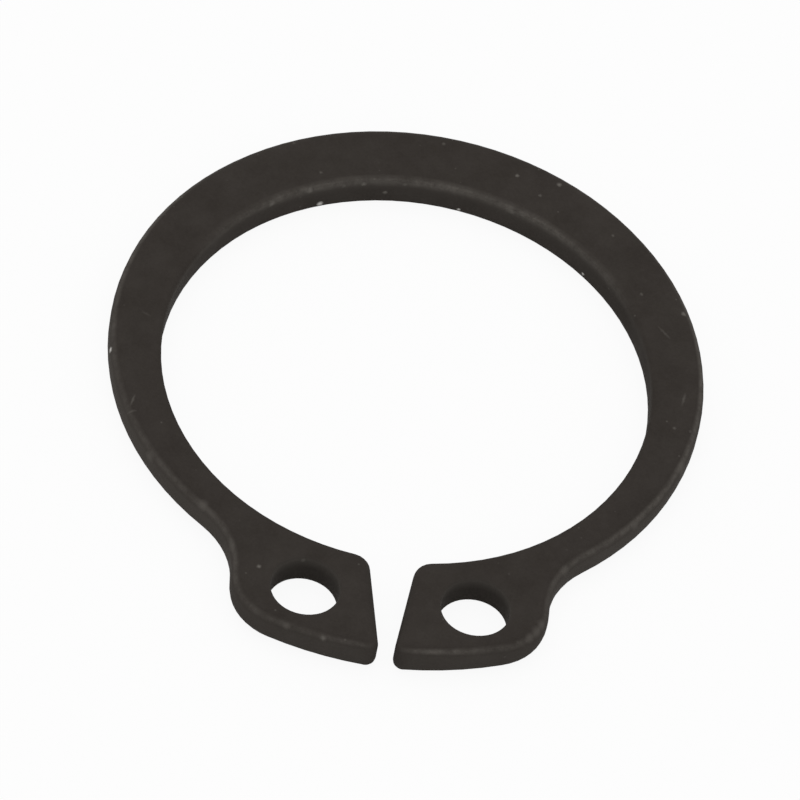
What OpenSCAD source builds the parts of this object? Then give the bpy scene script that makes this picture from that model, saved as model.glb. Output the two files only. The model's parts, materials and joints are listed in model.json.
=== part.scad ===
// External retaining ring for a grooved shaft, stamped in one piece from spring steel and tumbled.
// It lies flat, with the shaft's axis on Z, the middle of its thickness at Z = 0 and its gap towards -Y.

/* [Ring] */
// Inner diameter of the ring at rest, a little less than that of its groove
inner_d = 16.5; // [15:0.1:18]
// Thickness of the steel
thickness = 1.2; // [0.9:0.05:1.6]
// Width of the ring opposite the gap
back_width = 2.42; // [2:0.02:2.8]
// Width to which the ring tapers towards the gap
front_width = 1.14; // [0.9:0.02:1.5]
// Radius of the tumbled edges of the rim and the lugs
rim_edge_r = 0.42; // [0.1:0.02:0.5]
// Radius of the edges of the bore
bore_edge_r = 0.2; // [0.1:0.02:0.4]

/* [Lugs] */
// Height of the lugs from the inner circle
lug_height = 3.8; // [3.4:0.1:4.4]
// Angle from the middle of the gap to the centre of a lug's side corner
lug_angle = 19; // [17:0.5:22]
// Radius of a lug's side corner
lug_side_r = 2; // [1.5:0.1:2.4]
// Radius of the fillet between a lug and the ring
neck_r = 2.9; // [2:0.1:4]

/* [Gap] */
// Width of the gap at the inner circle
gap_inner_w = 1.55; // [1.2:0.05:2.2]
// Width of the gap at the ends of the lugs
gap_outer_w = 0.45; // [0.3:0.01:1]
// Radius of the corners between the gap and the inner circle
gap_inner_r = 0.6; // [0.5:0.05:1.2]
// Radius of the corners between the gap and the ends of the lugs
gap_outer_r = 0.34; // [0.3:0.02:0.6]

/* [Plier holes] */
// Diameter of the plier holes
hole_d = 2.3; // [1.6:0.1:2.5]
// Metal between a plier hole and the end of its lug
hole_web = 0.69; // [0.6:0.01:1]
// Angle from the middle of the gap to a plier hole
hole_angle = 16; // [14:0.5:18]
// Radius of the edges of the plier holes
hole_edge_r = 0.15; // [0.05:0.01:0.4]

/* [Hidden] */
$fn = 96;
inner_r = inner_d / 2;
outer_r = inner_r + (back_width + front_width) / 2;
outer_centre = [0, (back_width - front_width) / 2];
lug_r = inner_r + lug_height;
hole_r = hole_d / 2;
hole_centre = polar(lug_r - hole_web - hole_r, hole_angle - 90);

// Each edge radius is limited by the metal round it
fullest_edge = thickness / 2.1;
rim_edge = min(rim_edge_r, fullest_edge);
gap_edge = min(rim_edge, gap_outer_r / 1.1);
bore_edge = min(bore_edge_r, fullest_edge);
hole_edge = min(hole_edge_r, fullest_edge, 0.9 * (hole_web - rim_edge));
// Steps round an edge
edge_steps = 4;
// Largest distance of a chord from its arc, and largest angle between the points of an arc
chord_gap = 0.005;
max_step = 15;
// Depth to which the bore is filled before it is cut
filling_depth = 1;

function polar(r, a) = r * [cos(a), sin(a)];
function angle_of(v) = atan2(v.y, v.x);

// Way up the wall from the lower face to the upper one, as the nearer face and the turn away from the wall
edge_turns = [
    for (face = [-1, 1], i = [0:edge_steps])
        [face, 90 * (face < 0 ? edge_steps - i : i) / edge_steps]
];

// Inset and height of an edge of radius e at one such turn
function inset(e, turn) = e * (1 - cos(turn[1]));
function height(e, turn) = turn[0] * (thickness / 2 - e + e * sin(turn[1]));

// The straight face of the right lug at the gap
gap_start = [gap_inner_w / 2, -inner_r];
gap_end = [gap_outer_w / 2, -lug_r];
gap_dir = (gap_end - gap_start) / norm(gap_end - gap_start);
gap_normal = [-gap_dir.y, gap_dir.x];

// Centre of a circle that touches the gap face, at a given distance from the ring's axis
function gap_corner(r, reach) =
    let (base = gap_start + r * gap_normal, along = base * gap_dir)
    base + (sqrt(along * along - base * base + reach * reach) - along) * gap_dir;

// Point at distance r1 from c1 and r2 from c2, to the left of the line from c1 to c2
function meeting(c1, r1, c2, r2) =
    let (line = c2 - c1, u = line / norm(line), x = (line * line + r1 * r1 - r2 * r2) / (2 * norm(line)))
    c1 + x * u + sqrt(r1 * r1 - x * x) * [-u.y, u.x];

gap_inner_centre = gap_corner(gap_inner_r, inner_r + gap_inner_r);
gap_outer_centre = gap_corner(gap_outer_r, lug_r - gap_outer_r);
side_centre = polar(lug_r - lug_side_r, lug_angle - 90);
neck_centre = meeting(outer_centre, outer_r + neck_r, side_centre, lug_side_r + neck_r);
neck_angle = angle_of(neck_centre - outer_centre);
neck_side = angle_of(neck_centre - side_centre);

// Points along an arc after its first, as many as keep the chords close to it, each with the direction into
// the metal, which lies inside the circle (side 1) or outside it (side -1), and the edge radius there
function arc(centre, r, from, to, edges, side = 1) =
    let (steps = ceil(abs(to - from) / min(max_step, 2 * acos(1 - chord_gap / r))))
    [for (i = [1:steps]) let (a = from + (to - from) * i / steps)
        [centre + polar(r, a), -side * polar(1, a), edges[0] + (edges[1] - edges[0]) * i / steps]];

// Rim of the right half, from the back of the ring to the neck of the lug
rim = concat(
    [[outer_centre + [0, outer_r], [0, -1], rim_edge]],
    arc(outer_centre, outer_r, 90, neck_angle, [rim_edge, rim_edge])
);

// Corner of the right lug between the gap and the bore, which runs out into the bore
bore_corner = arc(
    gap_inner_centre, gap_inner_r, angle_of(-gap_normal), angle_of(-gap_inner_centre), [gap_edge, bore_edge]
);
run_out = len(bore_corner) - 1;

// Outline of the right lug: neck, side, end, corner, gap face and corner with the bore
lug = concat(
    arc(neck_centre, neck_r, 180 + neck_angle, 180 + neck_side, [rim_edge, rim_edge], -1),
    arc(side_centre, lug_side_r, neck_side, lug_angle - 90, [rim_edge, rim_edge]),
    arc([0, 0], lug_r, lug_angle - 90, angle_of(gap_outer_centre), [rim_edge, gap_edge]),
    arc(
        gap_outer_centre, gap_outer_r,
        360 + angle_of(gap_outer_centre), angle_of(-gap_normal), [gap_edge, gap_edge]
    ),
    [[gap_inner_centre - gap_inner_r * gap_normal, gap_normal, gap_edge]],
    [for (i = [0:run_out - 1]) bore_corner[i]],
    [[
        1.5 * bore_corner[run_out][0] - 0.5 * bore_corner[run_out - 1][0],
        bore_corner[run_out][1],
        bore_edge
    ]]
);

// Inner side of the filling that closes the bore, from the gap to the back
filling = [
    for (i = [len(rim) - 1:-1:0])
        [polar(inner_r - filling_depth, angle_of(rim[i][0])), [0, 0], bore_edge]
];

module both_sides()
    for (side = [0, 1])
        mirror([side, 0, 0])
            children();

// Cutter for a round hole with rounded edges
module rounded_hole(r, e) {
    wall = [for (turn = edge_turns) [r + inset(e, turn), height(e, turn)]];
    top = len(wall) - 1;
    below = 2 * wall[0] - wall[1];
    above = 2 * wall[top] - wall[top - 1];
    rotate_extrude()
        polygon(concat(
            [[0, below[1]], below],
            [for (i = [1:top - 1]) wall[i]],
            [above, [0, above[1]]]
        ));
}

// Right half with its bore still filled, built up from its outline at each turn of the rounded edge
module filled_half() {
    outline = concat(rim, lug, filling);
    n = len(outline);
    top = len(edge_turns) - 1;
    neck = len(rim) - 1;
    hub = polar(inner_r + lug_height / 4, hole_angle - 90);
    fan = concat([for (i = [neck:n - neck - 2]) [i, i + 1]], [[n - neck - 1, neck]]);
    polyhedron(
        points = concat(
            [for (turn = edge_turns, p = outline) let (q = p[0] + inset(p[2], turn) * p[1])
                [q.x, q.y, height(p[2], turn)]],
            [for (face = [-1, 1]) [hub.x, hub.y, face * thickness / 2]]
        ),
        faces = concat(
            [for (k = [0:top - 1], i = [0:n - 1]) let (j = (i + 1) % n)
                [k * n + i, k * n + j, (k + 1) * n + j, (k + 1) * n + i]],
            [for (i = [0:neck - 1]) [i + 1, i, n - 1 - i, n - 2 - i]],
            [for (e = fan) [(top + 1) * n, e[1], e[0]]],
            [for (i = [0:neck - 1]) [top * n + i, top * n + i + 1, top * n + n - 2 - i, top * n + n - 1 - i]],
            [for (e = fan) [(top + 1) * n + 1, top * n + e[0], top * n + e[1]]]
        )
    );
}

module retaining_ring()
    color([0.2, 0.19, 0.18])
        difference() {
            both_sides()
                filled_half();
            rounded_hole(inner_r, bore_edge);
            both_sides()
                translate(hole_centre)
                    rounded_hole(hole_r, hole_edge);
        }

retaining_ring();
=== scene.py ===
import json
import math

import bpy
from mathutils import Matrix, Vector


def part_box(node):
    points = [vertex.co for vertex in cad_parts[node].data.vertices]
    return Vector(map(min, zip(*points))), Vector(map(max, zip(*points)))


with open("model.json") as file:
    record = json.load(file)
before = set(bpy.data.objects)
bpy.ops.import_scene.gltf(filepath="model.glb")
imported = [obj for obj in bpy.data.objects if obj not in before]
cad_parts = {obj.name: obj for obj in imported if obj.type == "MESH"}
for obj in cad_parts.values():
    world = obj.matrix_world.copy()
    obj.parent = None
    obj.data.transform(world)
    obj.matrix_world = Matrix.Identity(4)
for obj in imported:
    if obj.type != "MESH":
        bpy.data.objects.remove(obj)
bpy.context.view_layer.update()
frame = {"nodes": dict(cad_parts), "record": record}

bpy.ops.object.select_all(action="DESELECT")

# Retaining ring
# One flat stamping of spring steel, hardened, tumbled until its edges are round, then phosphated
# black and oiled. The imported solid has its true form, so it stays and only gets its finish.
MM = 0.001
ring = frame["nodes"]["retaining_ring"]
weld = ring.modifiers.new("closed_mesh", "WELD")
weld.merge_threshold = 0.001 * MM
smooth_faces = ring.modifiers.new("smooth_edges", "WEIGHTED_NORMAL")
smooth_faces.mode = "FACE_AREA"
smooth_faces.weight = 60

phosphate = bpy.data.materials.new("black_phosphate")
phosphate.use_nodes = True
nodes = phosphate.node_tree.nodes
links = phosphate.node_tree.links


def put(socket, given):
    """Give a socket a value, or link another node's output to it."""
    if isinstance(given, bpy.types.NodeSocket):
        links.new(given, socket)
    else:
        socket.default_value = given


def add(kind, **inputs):
    """Add a node to the current material or world, with its inputs by name."""
    node = nodes.new("ShaderNode" + kind)
    for name, given in inputs.items():
        put(node.inputs[name], given)
    return node


def maths(operation, *terms):
    """One step of arithmetic on values."""
    node = add("Math")
    node.operation = operation
    for socket, given in zip(node.inputs, terms):
        put(socket, given)
    return node.outputs["Value"]


def vectors(operation, *terms):
    """One step of arithmetic on places."""
    node = add("VectorMath")
    node.operation = operation
    for socket, given in zip(node.inputs, terms):
        put(socket, given)
    return node.outputs["Value" if operation == "LENGTH" else "Vector"]


def overlap(first, *others):
    """Product of masks and shares, which lets through what all of them do."""
    product = first
    for mask in others:
        product = maths("MULTIPLY", product, mask)
    return product


def ramp(value, *stops, span=1.0):
    """A mask that follows (value, strength) stops, for values from 0 to the span."""
    if span != 1.0:
        value = maths("DIVIDE", value, span)
    node = add("ValToRGB", Fac=value)
    elements = node.color_ramp.elements
    while len(elements) < len(stops):
        elements.new(1.0)
    for element, (position, strength) in zip(elements, stops):
        element.position = position / span
        element.color = (strength, strength, strength, 1)
    return node.outputs["Color"]


def blend(mask, below, above):
    """One colour laid over another as far as the mask lets it through."""
    node = add("Mix")
    node.data_type = "RGBA"
    factor, first_colour, second_colour = node.inputs[0], node.inputs[6], node.inputs[7]
    put(factor, mask)
    put(first_colour, below)
    put(second_colour, above)
    return node.outputs[2]


def noise(scale, detail, roughness):
    """Clouds of that many to the millimetre."""
    return add("TexNoise", Vector=in_mm, Scale=scale, Detail=detail, Roughness=roughness)


def reach(middle, half_size, turn=0.0, space=None):
    """Distance from a place in mm, as a share of a half size in each direction."""
    local = add("Mapping", Vector=space or in_mm, Location=middle, Scale=half_size)
    put(local.inputs["Rotation"], (0, 0, turn))
    local.vector_type = "TEXTURE"
    return vectors("LENGTH", local.outputs["Vector"])


place = add("TexCoord")
enlarged = add("Mapping", Vector=place.outputs["Object"], Scale=(1 / MM, 1 / MM, 1 / MM))
in_mm = enlarged.outputs["Vector"]
across, depth, height = add("SeparateXYZ", Vector=in_mm).outputs
level = maths("ABSOLUTE", add("SeparateXYZ", Vector=place.outputs["Normal"]).outputs["Z"])
# So much taller than the ring that heights make no difference
any_height = 100
from_axis = reach((0, 0, 0), (1, 1, any_height))
# A little more than the largest distance from the axis
widest = 12.5

# Warm black of the phosphate, in faint clouds and a fine grain
deep_black = (0.0350, 0.0298, 0.0259, 1)
light_black = (0.0455, 0.0395, 0.0348, 1)
clouds = noise(0.9, 4, 0.6).outputs["Fac"]
grain = noise(11, 3, 0.7).outputs["Fac"]
tone = maths("ADD", maths("MULTIPLY", clouds, 0.6), maths("MULTIPLY", grain, 0.4))
colour = blend(ramp(tone, (0.35, 0), (0.65, 1)), deep_black, light_black)

# Kept free of the pale wear and the painted light: the faces of the gap and the plier holes
gap_middle = (0, -9.9, 0)
gap_half_size = (1.2, 3.2, any_height)
beside_gap = ramp(reach(gap_middle, gap_half_size), (0.7, 0.1), (1, 1))
mounts = {mount["name"]: mount for mount in frame["record"]["mounts"]}
mouth_margin = 0.25
in_holes = 0.0
for name in ("plier_hole_right", "plier_hole_left"):
    hole_middle = Vector(mounts[name]["pos_m"]) / MM
    mouth_r = mounts[name]["dims"]["r_mm"] + mouth_margin
    in_hole = ramp(reach(hole_middle, (mouth_r, mouth_r, any_height)), (0.94, 1), (1, 0))
    in_holes = maths("MAXIMUM", in_holes, in_hole)
open_to_wear_and_light = overlap(beside_gap, maths("SUBTRACT", 1, in_holes))

# Outer walls painted paler: a painted reflection of the lit floor beside them
# Pale tone for real wear and bare steel, and also for painted highlights and painted light
pale_wear_and_highlight = (0.110, 0.100, 0.089, 1)
painted_wall_reflection = 0.33
upright = ramp(level, (0.2, 1), (0.7, 0))
outer_side = ramp(from_axis, (8.75, 0), (9.0, 1), (10.25, 1), (11.5, 0.5), span=widest)
colour = blend(overlap(upright, outer_side, open_to_wear_and_light, painted_wall_reflection), colour, pale_wear_and_highlight)

# Bore painted paler towards its upper edge, a painted highlight for a broader rounding than the
# solid has, and painted darker on its right side, which is painted shade
bore_r = mounts["groove_seat"]["dims"]["r_mm"]
bore_side = ramp(from_axis, (bore_r + 0.25, 1), (bore_r + 0.40, 0), span=widest)
wall_top = overlap(upright, ramp(height, (0.1, 0), (0.5, 1)))
bore_painted_highlight = maths("ADD", overlap(wall_top, 0.18), overlap(upright, 0.08))
colour = blend(overlap(bore_side, bore_painted_highlight), colour, pale_wear_and_highlight)
# Painted shade for the right side of the bore
painted_shade = (0.010, 0.008, 0.006, 1)
towards_right = ramp(across, (4.0, 0), (6.8, 0.15), span=widest)
colour = blend(overlap(bore_side, upright, towards_right), colour, painted_shade)

# Plier hole walls painted paler, most towards their mouths: painted light that lifts the shade
# inside the holes
painted_hole_lift = ramp(level, (0, 0.18), (0.35, 0.18), (0.55, 0.20), (0.75, 0.10), (1, 0))
hole_painted_light = maths("ADD", overlap(wall_top, 0.36), painted_hole_lift)
colour = blend(overlap(in_holes, hole_painted_light), colour, pale_wear_and_highlight)

# Round edges painted paler in patches: partly wear of the thin coating with the steel showing
# through, partly a painted highlight along them
round_edge = ramp(level, (0.36, 0), (0.62, 1), (0.74, 1), (0.91, 0))
patches = noise(2.2, 6, 0.8).outputs["Fac"]
patchy = ramp(patches, (0.34, 0.2), (0.66, 1))
stretches = ramp(noise(0.16, 2, 0.5).outputs["Fac"], (0.40, 0.5), (0.60, 1))
rim_wear_and_highlight = overlap(round_edge, open_to_wear_and_light, maths("SUBTRACT", 0.9, bore_side))
# The upper edge of the bore gets a painted highlight at the back only, round a line through its
# rounding
highlight_line_r = bore_r + 0.04
highlight_line_height = 0.50
from_line = add(
    "CombineXYZ",
    X=maths("SUBTRACT", from_axis, highlight_line_r),
    Z=maths("SUBTRACT", height, highlight_line_height),
)
line_distance = vectors("LENGTH", from_line.outputs["Vector"])
bore_edge_highlight = ramp(line_distance, (0.05, 1), (0.12, 0.5), (0.25, 0))
towards_back = ramp(depth, (3.4, 0), (7.0, 1), span=widest)
worn_and_highlit = maths("MAXIMUM", rim_wear_and_highlight, overlap(bore_edge_highlight, towards_back))
colour = blend(overlap(worn_and_highlit, patchy, stretches), colour, pale_wear_and_highlight)

# Fine pale grit all over
pale = (0.130, 0.120, 0.107, 1)
grit = add("TexVoronoi", Vector=in_mm, Scale=2.2)
few = ramp(grit.outputs["Color"], (0.55, 0), (0.75, 0.4))
grains = overlap(few, ramp(grit.outputs["Distance"], (0.04, 1), (0.11, 0)))
colour = blend(grains, colour, pale)

# Marks of handling, with ragged outlines
raggedness = 0.08
stray = vectors("SUBTRACT", noise(14, 2, 0.5).outputs["Color"], (0.5, 0.5, 0.5))
ragged = vectors("MULTIPLY_ADD", stray, (raggedness, raggedness, raggedness), in_mm)


def spots(points):
    """Mask of round marks, each given by its place and radius in mm."""
    nearest = 1.0
    for x, y, z, radius in points:
        away = reach((x, y, z), (radius, radius, radius), space=ragged)
        nearest = maths("MINIMUM", nearest, away)
    return ramp(nearest, (0.2, 1), (1, 0))


upper = mounts["upper_face"]["pos_m"][2] / MM
half_covered = 0.5
rubbed = spots([
    (7.95, -5.40, 0.40, 0.22), (5.72, -7.74, 0.45, 0.24), (9.43, -2.71, 0.35, 0.30),
    (3.39, -11.72, 0.42, 0.20), (-2.11, -11.84, 0.45, 0.16), (-3.35, -11.52, 0.45, 0.16),
    (-6.41, -6.90, 0.48, 0.24), (-8.31, -4.97, 0.30, 0.26), (-5.39, -8.45, 0.45, 0.20),
    (3.13, 7.66, 0.45, 0.18), (5.04, -10.15, 0.47, 0.24), (4.88, -10.48, 0.47, 0.26),
    (4.67, -10.76, 0.47, 0.22),
])
colour = blend(overlap(rubbed, half_covered), colour, pale_wear_and_highlight)
faint_specks = spots([
    (6.64, 6.96, upper, 0.08), (7.72, 4.51, upper, 0.08), (9.05, -1.18, upper, 0.08),
    (9.61, -1.20, upper, 0.09), (-3.41, 8.13, upper, 0.08), (0.68, 10.12, upper, 0.08),
    (-4.42, 9.32, upper, 0.08), (4.08, 8.34, upper, 0.08), (-2.59, 7.83, 0.40, 0.10),
    (-0.52, 8.20, 0.40, 0.10), (3.18, 7.60, 0.40, 0.10),
])
colour = blend(overlap(faint_specks, half_covered), colour, pale)
specks = spots([
    (3.26, 9.10, upper, 0.09), (4.71, 8.94, upper, 0.11), (-4.40, -9.28, upper, 0.10),
    (-2.96, -8.66, 0.45, 0.09), (-3.72, 7.37, 0.46, 0.13), (-4.97, 6.59, 0.44, 0.14),
    (-1.92, 8.01, 0.40, 0.11), (-1.14, 8.17, -0.05, 0.10), (-2.11, -11.84, 0.45, 0.11),
    (9.18, 3.90, 0.58, 0.12),
])
colour = blend(specks, colour, pale)
bright_steel = (0.62, 0.60, 0.57, 1)
nicks = spots([
    (-9.93, -0.61, 0.31, 0.13), (-3.30, 7.56, -0.36, 0.14), (5.78, 5.88, -0.31, 0.08),
    (1.43, 8.12, -0.39, 0.08),
])
colour = blend(nicks, colour, bright_steel)

# Short scratches on the upper face, from one end to the other, each with its strength
scratches = [
    ((8.29, 3.24), (8.80, 2.65), 0.30),
    ((9.38, 0.46), (9.26, -0.20), 0.40),
    ((9.15, 3.96), (9.28, 3.78), 0.45),
    ((-8.97, -2.60), (-9.10, -3.16), 0.50),
    ((-9.34, -3.32), (-8.85, -3.30), 0.50),
    ((-9.06, 1.02), (-8.66, 0.82), 0.18),
]
scratch_width = 0.12
scratch_half_height = 0.3
for first, last, strength in scratches:
    run = Vector(last) - Vector(first)
    middle = (Vector(first) + Vector(last)) / 2
    half_size = (run.length / 2, scratch_width / 2, scratch_half_height)
    scratch = reach((*middle, upper), half_size, math.atan2(run.y, run.x), ragged)
    colour = blend(ramp(scratch, (0.2, strength), (1, 0)), colour, pale)

# Matt surface with a fine tooth, and small dents along its edges
tooth_height = 0.01 * MM
dent_depth = 0.03 * MM
shader = nodes["Principled BSDF"]
put(shader.inputs["Base Color"], colour)
put(shader.inputs["Roughness"], ramp(tone, (0.3, 0.80), (0.7, 0.70)))
shader.inputs["Specular IOR Level"].default_value = 0.03
tooth = add("Bump", Strength=0.25, Distance=tooth_height, Height=grain)
dents = add("Bump", Strength=0.3, Distance=dent_depth, Normal=tooth.outputs["Normal"])
put(dents.inputs["Height"], overlap(patches, round_edge))
put(shader.inputs["Normal"], dents.outputs["Normal"])
ring.data.materials.clear()
ring.data.materials.append(phosphate)

# Floor
# A wide matt white board under the ring, at the height of its lower face. Where it is seen it mostly
# glows by itself, so that it shows as white.
floor_size = 4.0
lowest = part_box("retaining_ring")[0].z
bpy.ops.mesh.primitive_plane_add(size=floor_size, location=(0, 0, lowest))
floor = bpy.context.object
floor.name = "floor"
white_board = bpy.data.materials.new("white_board")
white_board.use_nodes = True
nodes = white_board.node_tree.nodes
links = white_board.node_tree.links
board = nodes["Principled BSDF"]
board.inputs["Base Color"].default_value = (0.86, 0.86, 0.86, 1)
board.inputs["Roughness"].default_value = 0.9
board.inputs["Specular IOR Level"].default_value = 0.0
glow_share = 0.92
rays = add("LightPath")
seen = maths("MAXIMUM", rays.outputs["Is Camera Ray"], rays.outputs["Is Transmission Ray"])
seen = maths("MAXIMUM", seen, rays.outputs["Is Glossy Ray"])
glow = add("Emission", Strength=1.0)
both = add("MixShader", Fac=maths("MULTIPLY", seen, glow_share))
put(both.inputs[1], board.outputs["BSDF"])
put(both.inputs[2], glow.outputs["Emission"])
put(nodes["Material Output"].inputs["Surface"], both.outputs["Shader"])
floor.data.materials.append(white_board)

# Light
# An even white surround, at full white only where the camera sees it, and one large soft lamp above
# the far side of the ring, turned towards it.
world = bpy.data.worlds.new("studio")
world.use_nodes = True
bpy.context.scene.world = world
nodes = world.node_tree.nodes
links = world.node_tree.links
surround = nodes["Background"]
surround.inputs["Color"].default_value = (1, 1, 1, 1)
surround.inputs["Strength"].default_value = 0.7
rays = add("LightPath")
backdrop = add("Background", Strength=1.0)
either = add("MixShader", Fac=rays.outputs["Is Camera Ray"])
put(either.inputs[1], surround.outputs["Background"])
put(either.inputs[2], backdrop.outputs["Background"])
put(nodes["World Output"].inputs["Surface"], either.outputs["Shader"])

lamp_size = 0.40
lamp_place = Vector((-0.04, 0.10, 0.42))
bpy.ops.object.light_add(type="AREA", location=lamp_place)
lamp = bpy.context.object
lamp.data.size = lamp_size
lamp.data.energy = 0.5
lamp.rotation_euler = lamp_place.to_track_quat("Z", "Y").to_euler()

# Camera
# A long lens that looks down on the ring from the side of its lugs, turned a little about its axis.
view_turn = math.radians(-5.482)
view_height = math.radians(49.689)
view_roll = math.radians(11.338)
view_distance = 334.374 * MM
look_at = Vector((-0.076, -0.433, -0.6)) * MM
bpy.ops.object.camera_add()
camera = bpy.context.object
camera.data.sensor_width = 36
camera.data.lens = 450
camera.data.clip_start = 0.01
turned = (
    Matrix.Rotation(view_turn, 4, "Z")
    @ Matrix.Rotation(math.radians(90) - view_height, 4, "X")
    @ Matrix.Rotation(view_roll, 4, "Z")
)
drawn_back = Matrix.Translation((0, 0, view_distance))
camera.matrix_world = Matrix.Translation(look_at) @ turned @ drawn_back
bpy.context.scene.camera = camera
bpy.context.scene.view_settings.view_transform = "Standard"
